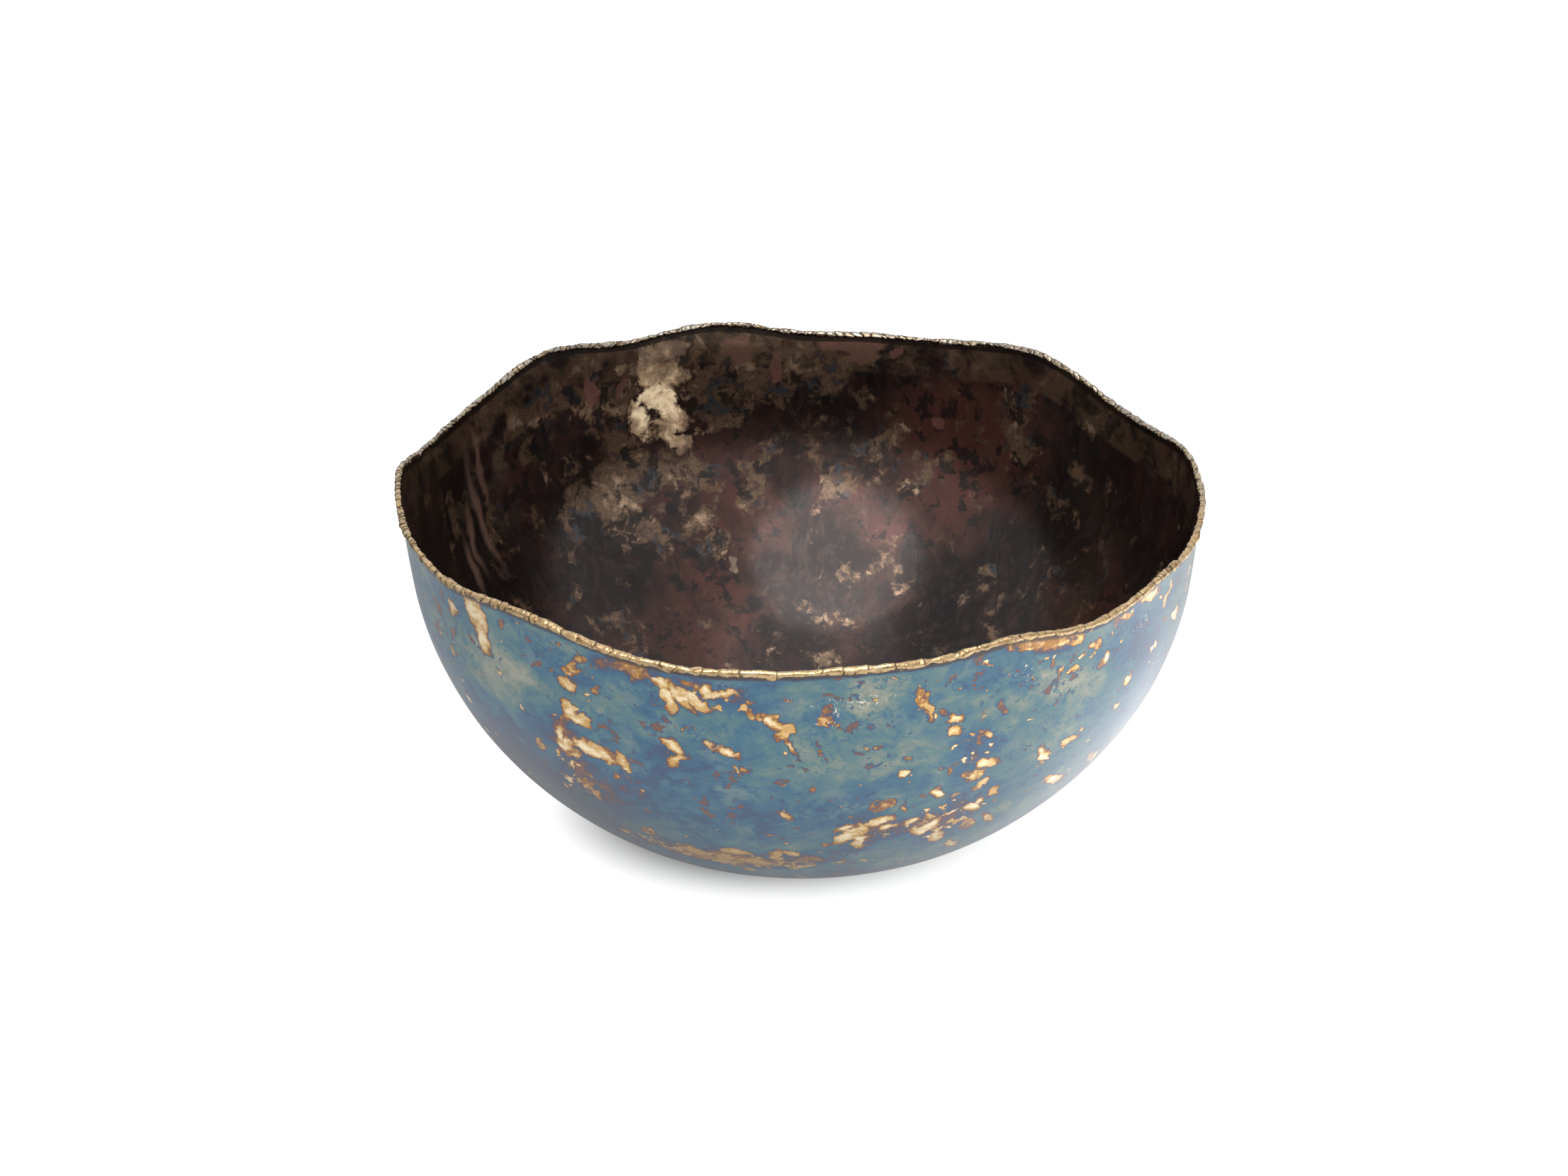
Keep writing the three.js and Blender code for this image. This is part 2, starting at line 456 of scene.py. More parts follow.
class Look:
    """A material under construction: each call adds one node and returns its main output.

    Its patterns are noises by name, as (size, detail, roughness, seed) and, for some, how many
    times finer the noise is along each axis.
    """

    def __init__(self, name, patterns=None):
        self.patterns = patterns
        self.material = bpy.data.materials.new(name)
        self.material.use_nodes = True
        self.tree = self.material.node_tree
        self.tree.nodes.clear()
        output = self.tree.nodes.new("ShaderNodeOutputMaterial")
        self.shader = self.tree.nodes.new("ShaderNodeBsdfPrincipled")
        self.tree.links.new(self.shader.outputs[0], output.inputs["Surface"])

    def feed(self, node, inputs):
        """Links outputs to a node's sockets, or sets constants on them, by name or place."""
        for key, value in inputs.items():
            socket = node.inputs[key]
            if isinstance(value, bpy.types.NodeSocket):
                self.tree.links.new(value, socket)
            elif value is not None:
                plain_colour = socket.type == "RGBA" and len(value) == 3
                socket.default_value = (*value, 1) if plain_colour else value

    def add(self, kind, *values, inputs={}, **settings):
        """A node of this kind, with values for its first sockets and inputs for others."""
        node = self.tree.nodes.new(kind)
        for key, value in settings.items():
            setattr(node, key, value)
        self.feed(node, dict(enumerate(values)) | inputs)
        return node

    def maths(self, operation, *values, clamp=False):
        node = self.add("ShaderNodeMath", *values, operation=operation, use_clamp=clamp)
        return node.outputs[0]

    def times(self, a, b):
        return self.maths("MULTIPLY", a, b)

    def larger(self, a, b):
        return self.maths("MAXIMUM", a, b)

    def smaller(self, a, b):
        return self.maths("MINIMUM", a, b)

    def linear(self, value, gain, base, clamp=False):
        return self.maths("MULTIPLY_ADD", value, gain, base, clamp=clamp)

    def swing(self, value, middle, gain, base, clamp=False):
        """The base, moved by gain times how far the value is past its middle."""
        return self.linear(self.maths("SUBTRACT", value, middle), gain, base, clamp)

    def vector(self, operation, a, b=None, scale=None):
        node = self.add("ShaderNodeVectorMath", a, b, None, scale, operation=operation)
        return node.outputs["Value" if operation == "LENGTH" else "Vector"]

    def stretch(self, coords, scale):
        return self.vector("MULTIPLY", coords, scale)

    def split(self, coords):
        return self.add("ShaderNodeSeparateXYZ", coords).outputs

    def noise(self, coords, size, detail, rough, seed, colour=False):
        """Noise whose cells measure size millimetres, for coordinates in millimetres."""
        inputs = {"W": seed, "Scale": 1 / size, "Detail": detail, "Roughness": rough}
        node = self.add("ShaderNodeTexNoise", coords, inputs=inputs, noise_dimensions="4D")
        return node.outputs["Color" if colour else "Fac"]

    def pattern(self, name, coords):
        """One of the look's own noises."""
        *settings, seed, scale = (*self.patterns[name], None)[:5]
        if scale is not None:
            coords = self.stretch(coords, scale)
        return self.noise(coords, *settings, seed)

    def cells(self, coords, size):
        """Distance from the nearest of scattered points about size millimetres apart."""
        node = self.add("ShaderNodeTexVoronoi", coords, inputs={"Scale": 1 / size})
        return node.outputs["Distance"]

    def ramp(self, value, stops, smooth=False):
        """Colours or greys against a value, from (place, colour) pairs in linear light."""
        node = self.add("ShaderNodeValToRGB", value)
        ramp = node.color_ramp
        ramp.interpolation = "EASE" if smooth else "LINEAR"
        while len(ramp.elements) > 1:
            ramp.elements.remove(ramp.elements[-1])
        for place, _ in stops[1:]:
            ramp.elements.new(place)
        for element, (place, colour) in zip(ramp.elements, stops):
            grey = isinstance(colour, (int, float))
            element.position = place
            element.color = (*((colour,) * 3 if grey else colour), 1)
        return node.outputs["Color"]

    def between(self, value, low, high, to_low=0.0, to_high=1.0):
        """A value stepped smoothly from to_low to to_high as it goes from low to high."""
        values = (value, low, high, to_low, to_high)
        node = self.add("ShaderNodeMapRange", *values, interpolation_type="SMOOTHSTEP")
        return node.outputs["Result"]

    def mix(self, factor, a, b):
        """Colour a where the factor is 0, and b where it is 1."""
        node = self.add("ShaderNodeMix", factor, inputs={"A": a, "B": b}, data_type="RGBA")
        return node.outputs["Result"]

    def attribute(self, name):
        return self.add("ShaderNodeAttribute", attribute_name=name).outputs["Fac"]

    def bump(self, height, strength, distance):
        inputs = {"Strength": strength, "Distance": distance * MM, "Height": height}
        return self.add("ShaderNodeBump", inputs=inputs).outputs[0]

    def finish(self, colour, metallic, roughness, normal=None, **constants):
        """The finished material. Constants go on the shader's sockets: coat_ior on Coat IOR."""
        inputs = {"Metallic": metallic, "Roughness": roughness, "Normal": normal}
        for key, value in constants.items():
            inputs[key.replace("_", " ").title().replace("Ior", "IOR")] = value
        self.feed(self.shader, {"Base Color": colour} | inputs)
        return self.material


def object_millimetres(look):
    coords = look.add("ShaderNodeTexCoord").outputs["Object"]
    return look.vector("SCALE", coords, scale=1 / MM)


WARP_SEED = 3.3


def warped(look, coords, pushes):
    """Coordinates pushed about by noise, for (size, reach) pairs in millimetres."""
    for index, (size, reach) in enumerate(pushes):
        push = look.noise(coords, size, 1.0, 0.5, index + WARP_SEED, colour=True)
        push = look.vector("SUBTRACT", push, (0.5,) * 3)
        coords = look.vector("ADD", coords, look.vector("SCALE", push, scale=2 * reach))
    return coords


def spot_depth(half_length):
    """How deep a spot reaches off the wall, so that the warp doesn't move its points out of it."""
    return 3 * half_length + 6


def closeness(look, coords, face, spot, horizon):
    """1 in a spot's middle, falling evenly to 0 at horizon times its oval outline."""
    azimuth, height, half_length, half_width, tilt = spot
    place, along, up, out = on_wall(face, azimuth, height)
    lean = math.radians(tilt)
    long_way = math.cos(lean) * along + math.sin(lean) * up
    axes = Matrix((long_way, out.cross(long_way), out)).transposed()
    reach = Vector((half_length, half_width, spot_depth(half_length)))
    values = (coords, place, axes.to_euler(), reach * horizon)
    node = look.add("ShaderNodeMapping", *values, vector_type="TEXTURE")
    ball = look.add("ShaderNodeTexGradient", node.outputs[0], gradient_type="SPHERICAL")
    return ball.outputs["Fac"]


def closest(look, coords, face, spots, horizon):
    """The closeness to whichever of the spots is nearest."""
    best = None
    for spot in spots:
        near = closeness(look, coords, face, spot, horizon)
        best = near if best is None else look.larger(best, near)
    return best


# --- The outside film ---

# A spot is (azimuth, height, half length, half width, tilt). Its tilt is from level, up to the
# right. The patches, burns and areas of the film below are all spots.
BARE_SPOTS = {
    "tongue": [
        (-51, 116, 6, 4.5, -75), (-50, 108, 4.5, 2.5, -80), (-49, 112, 2.5, 1.2, 80),
        (-57, 111, 2.5, 2, 55),
    ],
    "left column": [
        (-32, 115, 1, 0.6, 40), (-34, 104, 2.5, 1.7, 5), (-34, 95, 3.7, 2.4, -60),
        (-33, 92, 4, 1.9, 15), (-37, 83, 4, 1, 80), (-36, 80, 3.4, 2.3, 25),
        (-31, 81, 7, 2.9, -10), (-26.5, 79, 3, 1.3, -67),
    ],
    "branch": [
        (-19.5, 113, 2.6, 1.8, -40), (-18.5, 108, 4.0, 1.5, -68), (-17, 109.5, 5.0, 1.4, -52),
        (-15, 108.5, 4.8, 1.5, -38), (-13, 113, 2, 1.2, 27), (-11, 112, 4.4, 1.3, 10),
        (-4, 102, 2.6, 1, -36), (-2.6, 99.5, 2.3, 1.4, 45),
    ],
    "middle": [
        (-18, 90, 3, 1.8, -34), (-18, 85, 2.7, 1.3, 25), (-11, 91, 2.8, 1.1, -25),
        (-3, 65, 1.3, 0.6, -53), (14, 81, 1.5, 1.2, -10),
    ],
    "low cluster": [
        (6, 58, 2.2, 1.2, 42), (7, 54, 5.4, 2.7, 55), (9, 51, 4.7, 1.9, -80),
        (9, 57, 3.2, 1.7, -78), (11, 60, 4.3, 1.7, 17), (13, 57, 2.6, 1.8, 0),
        (15, 65.5, 1, 0.6, -66), (17, 58, 1.9, 1.2, 14), (18.5, 51.5, 2.6, 1.8, -50),
    ],
    "foot": [(-12, 43, 3.4, 2.0, -10), (-5, 42, 3.2, 1.2, 72), (-2, 43.5, 2.4, 1.5, -55)],
    "right": [
        (56, 117, 5, 1.3, -13), (46, 103, 1.8, 1.0, 35), (53, 89, 1.9, 1.3, -34),
        (21, 95, 1.6, 1.1, -10), (27, 79, 3, 1.6, -13), (27, 70, 2, 1, 53),
        (30, 65, 1.7, 1.3, -62), (20, 70, 1.7, 1.2, -47), (42, 76, 3, 1.2, 0),
        (37, 75, 2.5, 1.2, -55), (43, 59, 4.4, 1.7, -31),
    ],
    "low right": [
        (20, 59, 1.5, 1, -50), (20, 53, 4.8, 2.3, 51), (23, 46, 3.8, 1.8, -67),
        (28, 38, 3.6, 1.2, -60), (27, 59.5, 2.4, 1.3, -54), (28, 62, 1.4, 1.1, 75),
        (32, 50, 2.5, 0.8, -63),
    ],
}
AMBER_SPOTS = {
    "left": [
        (-60, 92, 4.1, 1.2, 67), (-33, 109, 3.1, 1.9, 28), (-33, 112, 1.3, 0.5, 87),
        (-36, 89, 2.4, 0.8, 79), (-35, 77, 3.3, 1.7, 13), (-28.5, 73, 1.1, 0.5, 72),
        (-35, 64, 3.3, 1.9, 58), (-34, 60, 3.1, 1.6, -85), (-42, 74.5, 2.8, 1, 89),
    ],
    "branch": [
        (-22, 115.5, 5.4, 2.2, 2), (-15, 114, 3.3, 1.1, -27), (-9, 112, 1.6, 1, 83),
        (-7, 109, 1.3, 1.2, 51), (-7, 106, 1.9, 0.8, -68), (-5, 104, 2.5, 1.3, -20),
        (-1.7, 93, 3.5, 0.6, -61), (-13, 93, 2.3, 1.1, -29), (-19, 100.5, 1.5, 0.8, -34),
        (3, 103, 2.7, 2.1, 22), (2, 92, 1.6, 1.1, -76),
    ],
    "low": [
        (11.5, 68, 4.1, 2.6, 9), (4, 49, 2, 1.5, 27), (-27, 46.5, 2.4, 2, 21),
        (-21, 41, 3.5, 2.4, 44), (-18, 35.5, 7.5, 2.6, -7), (-11, 29, 2.9, 2.2, 30),
        (28, 49.5, 4.8, 2.2, -64),
    ],
    "right": [
        (16, 109, 3.4, 2.3, -70), (17, 103.5, 3.2, 1.4, -75), (19.5, 102, 2.5, 1.1, -46),
        (21, 99, 2.8, 1, -8), (28, 99, 2.8, 1.1, -59), (31, 120, 7.3, 2.3, -10),
        (38, 117.5, 7.7, 2.2, -13), (44, 110, 3.3, 1.7, -29), (49.5, 115, 3.8, 1.5, -17),
        (36, 110, 1.8, 0.7, -66), (25, 90, 3, 1.1, 79), (26, 90.5, 1.6, 1.1, -55),
        (25, 75, 3.8, 2.4, -9), (41.5, 74, 1.7, 1.3, -33), (54, 57, 7, 2, -41),
        (14, 87, 1.3, 1, 15),
    ],
}
RUSSET_SPOTS = {
    "left": [
        (-60, 113, 2.4, 1.5, 72), (-58, 102, 2.7, 1.1, 54), (-45, 117, 2.3, 1.3, 36),
        (-29, 104, 1.6, 1.1, 50),
    ],
    "middle": [
        (3, 107, 1.8, 1.7, -75), (0, 85, 2.2, 0.7, -49), (1, 77, 1.5, 1.1, -55),
        (-11, 77, 1.4, 0.9, 19), (-8, 84, 2, 1.1, -34), (-15, 65, 2.7, 1, -85),
    ],
    "right": [
        (37, 105, 4, 0.5, -76), (21, 78.5, 2.6, 0.9, 76), (20, 81, 1.8, 0.9, -21),
        (25, 83, 1.2, 0.7, -42), (36, 85, 1.7, 0.7, -31), (18, 70, 1.4, 1.1, -19),
    ],
}
# The film at a spot's outline and the thinnest it gets inside.
SPOT_FILMS = ((BARE_SPOTS, 0.07, -1.0), (AMBER_SPOTS, 0.22, 0.15), (RUSSET_SPOTS, 0.27, 0.18))
# How fast the film thickens from a spot's middle outward. A spot wider than the width below
# thickens no faster for it.
FILM_PER_MM = 0.24
STEEPEST_WIDTH = 3
# How far past its outline a drift reaches.
DRIFT_HORIZON = 1.5
# Past this film, a spot's fringe gives way to the open film in a fraction of a millimetre.
FRINGE_FILM = 0.22

# Broad changes of the film, as spots with how much thicker it is there.
FILM_DRIFTS = [
    ((-47, 100, 13, 18, 0), 0.42), ((-54, 74, 12, 16, 0), -0.12), ((6, 112, 22, 7, 0), 0.22),
    ((2, 96, 40, 20, 0), 0.02), ((-24, 86, 18, 16, 0), -0.15), ((-50, 62, 40, 28, 0), -0.26),
    ((0, 18, 110, 12, 0), -0.22), ((60, 76, 24, 44, 0), -0.14), ((23, 87, 20, 10, 0), -0.03),
    ((37, 101, 22, 12, 0), 0.1), ((0, 40, 60, 14, 0), -0.06),
]

# Patterns that lie over one another as washes of this much film, each with a clear edge.
FILM_WASHES = ("wide washes", "small washes")
WASH_STEP = 0.07

# Where the metal shows through in flecks, as spots with how readily it does.
FLECKED_AREAS = [
    ((-14, 36, 36, 8, -4), 0.26), ((22, 55, 20, 12, 0), 0.13), ((24, 86, 9, 18, 0), 0.09),
    ((40, 112, 22, 9, -15), 0.11), ((-33, 96, 6, 24, 0), 0.09), ((-37, 66, 8, 13, 0), 0.12),
    ((-10, 108, 18, 8, -20), 0.1), ((180, 60, 90, 45, 0), 0.09),
]

# Burns, where the film is thinned towards russet, as spots with the change of film.
FILM_BURNS = [
    ((-25, 116, 12, 4.5, 0), -0.56), ((-12, 110, 14, 5, -15), -0.14), ((3, 104, 6, 5, 0), -0.24),
    ((-34, 80, 12, 9, 0), -0.21), ((-16, 37, 36, 9, 0), -0.52), ((11, 56, 15, 10, 0), -0.26),
    ((21, 52, 10, 12, 0), -0.2), ((-36, 84, 5, 16, 0), -0.2), ((-30, 66, 14, 9, 0), -0.22),
    ((34, 119, 17, 3.6, -12), -0.56), ((46, 108, 12, 9, 0), -0.16), ((15, 108, 5, 7, 0), -0.22),
    ((28, 66, 18, 10, 0), -0.12), ((24, 84, 9, 14, 0), -0.05),
]

TEMPER_COLOURS = (
    (0.06, (0.62, 0.38, 0.13)), (0.13, (0.38, 0.175, 0.05)), (0.2, (0.185, 0.08, 0.045)),
    (0.27, (0.1, 0.062, 0.075)), (0.35, (0.04, 0.071, 0.138)), (0.46, (0.034, 0.104, 0.181)),
    (0.58, (0.05, 0.132, 0.182)), (0.72, (0.088, 0.166, 0.176)), (0.86, (0.18, 0.21, 0.182)),
    (1.00, (0.27, 0.272, 0.218)),
)
BARE_COLOURS = (
    (0.34, (0.58, 0.35, 0.12)), (0.44, (0.84, 0.6, 0.3)), (0.56, (1.00, 0.84, 0.57)),
)
# Where the bare patches stay a duller gold, as spots with how much duller.
TARNISHED_AREAS = [((-16, 38, 40, 10, 0), 0.36)]
# Painted shade: where the film darkens to slate, standing in for the darker reflections low on the
# left and along the bottom, as spots with how far.
PAINTED_SLATE_SHADE_AREAS = [((-46, 49, 44, 29, 0), 0.7), ((0, 16, 120, 10, 0), 0.45)]
SPECKLED_AREAS = [
    (7, 109, 17, 4.5, 8), (31, 110, 9, 3.5, 10), (55, 108, 7, 4, 0), (3, 103, 5, 4, 0),
]

# Thicknesses of the film: its mean away from every patch, the thinnest it gets there before
# and after burning, and the thickest it gets anywhere.
MEAN_FILM = 0.62
THINNEST_OPEN_FILM = 0.36
THINNEST_BURN = 0.13
THICKEST = 1.3

HAZE_COLOUR = (0.26, 0.27, 0.25)
# Painted shade: the slate that darkens the film low on the left and along the bottom.
PAINTED_SLATE_SHADE_COLOUR = (0.056, 0.052, 0.07)
SPECK_COLOUR = (0.84, 0.72, 0.54)
SPECK_SPACING = 0.5
# Soot with painted shade, just under the bead on the outside.
EDGE_SOOT_AND_SHADE_COLOUR = (0.035, 0.03, 0.03)

OUTSIDE_RAGGED = ((5.5, 2.0), (2.4, 1.1), (1.0, 0.35))
OUTSIDE_FLOWING = ((26, 8), (8, 2.5))
OUTSIDE_PATTERNS = {
    "clouds": (34, 6, 0.6, 1, (1, 1, 1.5)),
    "mottling": (6, 5, 0.62, 2, (1, 1, 1.4)),
    "wide washes": (20, 4, 0.55, 60, (1, 1, 1.5)),
    "small washes": (9, 4, 0.55, 61, (1, 1, 1.5)),
    "crossings": (9, 3, 0.6, 3, (1, 1, 1.3)),
    "stray clusters": (15, 2, 0.5, 12),
    "scorches": (5.5, 3, 0.62, 15, (1, 1, 1.3)),
    "scorch clusters": (24, 2, 0.5, 16),
    "satellites": (2.6, 2, 0.5, 4),
    "wear": (9, 2.2, 0.55, 6, (1, 1, 1.25)),
    "wear clusters": (34, 1.5, 0.5, 5),
    "flecks": (4.4, 2.4, 0.6, 13, (1, 1, 1.5)),
    "fringe": (3.0, 3, 0.66, 7),
    "grain": (0.9, 2, 0.6, 8),
    "streaks": (3.6, 3, 0.6, 9, (0.7, 1, 1.6)),
    "haze": (13, 4, 0.6, 14, (1, 1, 1.4)),
    "speck sizes": (1.6, 1, 0.5, 11),
    "waves": (14, 3, 0.5, 10),
}


def placed_spots(look, coords, face, groups, film_per_mm):
    """The thinnest film that any placed spot gives at a point."""
    thinnest = None
    for spots, depth, least in groups:
        of_group = None
        for spot in (spot for group in spots.values() for spot in group):
            slope = film_per_mm * min(spot[3], STEEPEST_WIDTH)
            horizon = 1 + (THICKEST - depth) / slope
            near = closeness(look, coords, face, spot, horizon)
            film = look.linear(near, -slope * horizon, THICKEST)
            of_group = film if of_group is None else look.smaller(of_group, film)
        of_group = look.larger(of_group, least)
        thinnest = of_group if thinnest is None else look.smaller(thinnest, of_group)
    return thinnest


def drifted(look, film, coords, face, drifts):
    """The film with each drift's change added, full in its middle and none beyond its rim."""
    for spot, change in drifts:
        near = closeness(look, coords, face, spot, DRIFT_HORIZON)
        film = look.maths("ADD", film, look.between(near, 0.0, 1.0, 0.0, change))
    return film


def open_film(look, coords, ragged, flowing, mottling):
    """The film away from every patch: clouds, washes, thin strays, scorches and burns."""
    film = look.swing(look.pattern("clouds", flowing), 0.5, 1.45, MEAN_FILM)
    film = look.swing(mottling, 0.5, 0.55, film)
    for name in FILM_WASHES:
        step = (-WASH_STEP / 2, WASH_STEP / 2)
        wash = look.between(look.pattern(name, flowing), 0.485, 0.53, *step)
        film = look.maths("ADD", film, wash)
    film = drifted(look, film, flowing, outer_face, FILM_DRIFTS)
    from_crossing = look.maths("SUBTRACT", look.pattern("crossings", ragged), 0.5)
    ridge = look.between(look.maths("ABSOLUTE", from_crossing), 0.024, 0.008)
    strays = look.between(look.pattern("stray clusters", coords), 0.44, 0.56, 0.0, -0.15)
    film = look.linear(ridge, strays, film)
    film = look.larger(film, THINNEST_OPEN_FILM)
    clusters = look.pattern("scorch clusters", coords)
    scorch = look.linear(clusters, 0.45, look.pattern("scorches", ragged))
    film = look.smaller(film, look.between(scorch, 0.81, 0.91, 1.0, 0.23))
    film = drifted(look, film, ragged, outer_face, FILM_BURNS)
    return look.larger(film, THINNEST_BURN)


def worn_film(look, coords, ragged):
    """The film over the placed patches, their satellites, and the wear scattered elsewhere."""
    placed = placed_spots(look, ragged, outer_face, SPOT_FILMS, FILM_PER_MM)
    satellites = look.swing(look.pattern("satellites", ragged), 0.7, -3.2, 0.1)
    off_placed = look.larger(placed, 0.3)
    satellites = look.linear(off_placed, 0.35, satellites)

    towards_back = look.between(look.split(coords)["Y"], -75, -35)
    clusters = look.pattern("wear clusters", coords)
    worn = look.linear(clusters, 0.55, look.pattern("wear", ragged))
    worn = look.linear(towards_back, 0.09, worn)
    scattered = look.swing(worn, 1.02, -6.0, 0.07)
    flecks = drifted(look, look.pattern("flecks", ragged), ragged, outer_face, FLECKED_AREAS)
    flecks = look.larger(look.swing(flecks, 0.71, -5.0, 0.07), -0.04)
    scattered = look.smaller(scattered, flecks)

    thin = look.smaller(look.smaller(placed, satellites), scattered)
    thin = look.swing(look.pattern("fringe", ragged), 0.5, 0.95, thin)
    return look.larger(thin, look.swing(thin, FRINGE_FILM, 3.5, FRINGE_FILM))


def speckling(look, coords, ragged):
    """1 inside the finest pale specks of the speckled areas, and 0 elsewhere."""
    near = closest(look, ragged, outer_face, SPECKLED_AREAS, 1.6)
    sizes = look.linear(look.pattern("speck sizes", coords), 1.3, -0.86)
    sizes = look.linear(near, 0.45, sizes)
    from_middle = look.cells(coords, SPECK_SPACING)
    specks = look.between(look.maths("SUBTRACT", sizes, from_middle), -0.05, 0.05)
    return look.times(specks, look.between(near, 0.03, 0.2))


def outside_film():
    look = Look("patinated_sheet", OUTSIDE_PATTERNS)
    coords = object_millimetres(look)
    ragged = warped(look, coords, OUTSIDE_RAGGED)
    flowing = warped(look, coords, OUTSIDE_FLOWING)
    mottling = look.pattern("mottling", flowing)
    film = open_film(look, coords, ragged, flowing, mottling)
    film = look.smaller(film, worn_film(look, coords, ragged))
    film = look.swing(look.pattern("grain", coords), 0.5, 0.09, film)
    below_edge = look.swing(mottling, 0.5, -2.5, look.attribute("below edge"))
    film = look.smaller(film, look.between(below_edge, -0.2, 2.0, 0.3, 1.2))

    streaks = look.pattern("streaks", ragged)
    golden = look.swing(streaks, 0.45, -0.8, film)
    golden = drifted(look, golden, ragged, outer_face, TARNISHED_AREAS)
    bare, tempered = look.ramp(streaks, BARE_COLOURS), look.ramp(film, TEMPER_COLOURS)
    colour = look.mix(look.between(golden, -0.3, 0.1), bare, tempered)
    haze = look.between(look.pattern("haze", flowing), 0.52, 0.68, 0.0, 0.22)
    haze = look.times(haze, look.between(film, 0.42, 0.6))
    colour = look.mix(haze, colour, HAZE_COLOUR)
    # Painted shade: slate darkening low on the left and along the bottom.
    for area, depth in PAINTED_SLATE_SHADE_AREAS:
        slate_shade = look.between(closeness(look, flowing, outer_face, area, 1.4), 0.0, 0.8, 0.0, depth)
        slate_shade = look.times(slate_shade, look.between(film, 0.22, 0.36))
        colour = look.mix(slate_shade, colour, PAINTED_SLATE_SHADE_COLOUR)
    colour = look.mix(speckling(look, coords, ragged), colour, SPECK_COLOUR)
    # Darker just under the bead: soot with painted shade where the bead overhangs the sheet.
    colour = look.mix(look.between(below_edge, 1.0, -0.4, 0.0, 0.8), colour, EDGE_SOOT_AND_SHADE_COLOUR)

    bareness = look.between(film, 0.1, 0.24, 1.0, 0.0)
    metallic = look.linear(bareness, 0.4, 0.5)
    roughness = look.linear(bareness, -0.08, 0.32)
    normal = look.bump(look.pattern("waves", coords), 0.15, 1.0)
    coat = {"coat_weight": 0.4, "coat_roughness": 0.06, "coat_ior": 1.6}
    return look.finish(colour, metallic, roughness, normal, **coat)


# --- The inside film ---

GOLD_SPOTS = {
    "flare": [
        (-157, 100, 6.9, 5.7, 70), (-157, 109, 8.6, 5, 21), (-157, 115, 7.3, 3.1, -4),
        (-153, 92, 4.7, 2.9, 81), (-158, 90, 5.9, 4, 21), (-159, 84.5, 4, 2.7, 45),
    ],
}
DUSTY_SPOTS = [
    (172, 115, 10.5, 2.5, 0), (170, 111, 6.3, 2, -9), (165, 113, 2.1, 2, -48),
    (-176, 107.5, 4.7, 2, 81), (-170, 114, 5, 3.6, 6), (-145, 108, 4.5, 2.2, 60),
    (-150, 106, 3.2, 1.2, -70), (157, 91, 1.6, 1.5, -37),
]
# Painted reflections: wavy bright runs on the left of the inside, and the smoky stretch that they
# lie in, where the glossy wavy wall shows reflections.
PAINTED_REFLECTION_RUNS = [
    (-117, 86, 14, 1.4, 86), (-114, 79, 9, 1.2, 97), (-119, 98, 9, 0.9, 87),
    (-111, 71, 7, 1.7, 100),
]
PAINTED_REFLECTION_AREA = (-123, 94, 17, 6, 88)
INSIDE_DARKS = (
    (0.3, (0.007, 0.005, 0.005)), (0.46, (0.015, 0.009, 0.008)), (0.56, (0.038, 0.018, 0.015)),
    (0.7, (0.085, 0.031, 0.025)),
)
INSIDE_BROWNS = (
    (0.34, (0.02, 0.018, 0.02)), (0.4, (0.046, 0.052, 0.06)), (0.44, (0.062, 0.038, 0.028)),
    (0.5, (0.145, 0.09, 0.057)), (0.55, (0.095, 0.06, 0.035)), (0.61, (0.26, 0.168, 0.11)),
    (0.7, (0.44, 0.31, 0.215)),
)
INSIDE_GOLDS = (
    (0.34, (0.09, 0.054, 0.034)), (0.44, (0.19, 0.122, 0.074)), (0.56, (0.44, 0.3, 0.18)),
    (0.7, (0.92, 0.72, 0.47)),
)
# Painted highlight: the gold inside is made brightest round this spot, where a light glares on it.
GOLD_GLARE = (-156, 95, 9, 8, 0)
GOLD_FILM_PER_MM = 0.09
# Where the inside goes maroon, and where its brown mottling gathers, as spots with how strongly.
MAROON_AREAS = [
    ((150, 92, 34, 24, 0), 0.16), ((178, 114, 30, 8, 0), 0.14), ((20, 10, 60, 40, 0), 0.08),
]
MOTTLED_AREAS = [
    ((-160, 104, 36, 20, 0), 0.22), ((-138, 108, 24, 8, 0), 0.2), ((-150, 74, 30, 26, 0), 0.15),
    ((-176, 108, 28, 12, 0), 0.18), ((-120, 100, 30, 22, 0), 0.06), ((148, 98, 34, 20, 0), 0.06),
    ((10, 40, 40, 30, 0), 0.04),
]


SCORCH_COLOUR = (0.014, 0.011, 0.011)
DUSTY_COLOUR = (0.21, 0.095, 0.075)
SINGED_COLOUR = (0.03, 0.014, 0.012)
# Painted reflection colours: the smoky stretch and the bright runs on the left of the inside.
PAINTED_REFLECTION_HAZE_COLOUR = (0.115, 0.088, 0.078)
PAINTED_REFLECTION_RUN_COLOUR = (0.27, 0.165, 0.125)
BRUSHED_COLOUR = (0.1, 0.062, 0.045)
# Painted reflection: the lighter band at the top of the inside.
LIP_REFLECTION_COLOUR = (0.17, 0.11, 0.065)
# A dark joint line with painted shade in the crease under the bead.
CREASE_JOINT_AND_SHADE_COLOUR = (0.012, 0.008, 0.007)

INSIDE_RAGGED = ((8, 2.6), (2.6, 1.2), (1.0, 0.45))
INSIDE_FLOWING = ((24, 8), (7, 2))
INSIDE_PATTERNS = {
    "clouds": (36, 5, 0.6, 21),
    "mottling": (12, 4, 0.66, 22),
    "tone": (9, 4, 0.64, 23),
    "scorches": (6.5, 4, 0.65, 28),
    "holes": (7, 4, 0.64, 24),
    "wear": (8, 2.5, 0.6, 26),
    "wear clusters": (30, 1.5, 0.5, 25),
    "lustre": (6, 4, 0.66, 27),
    "brush marks": (2.6, 3, 0.6, 30, (1, 1, 0.14)),
    "waves": (12, 3, 0.5, 29),
}


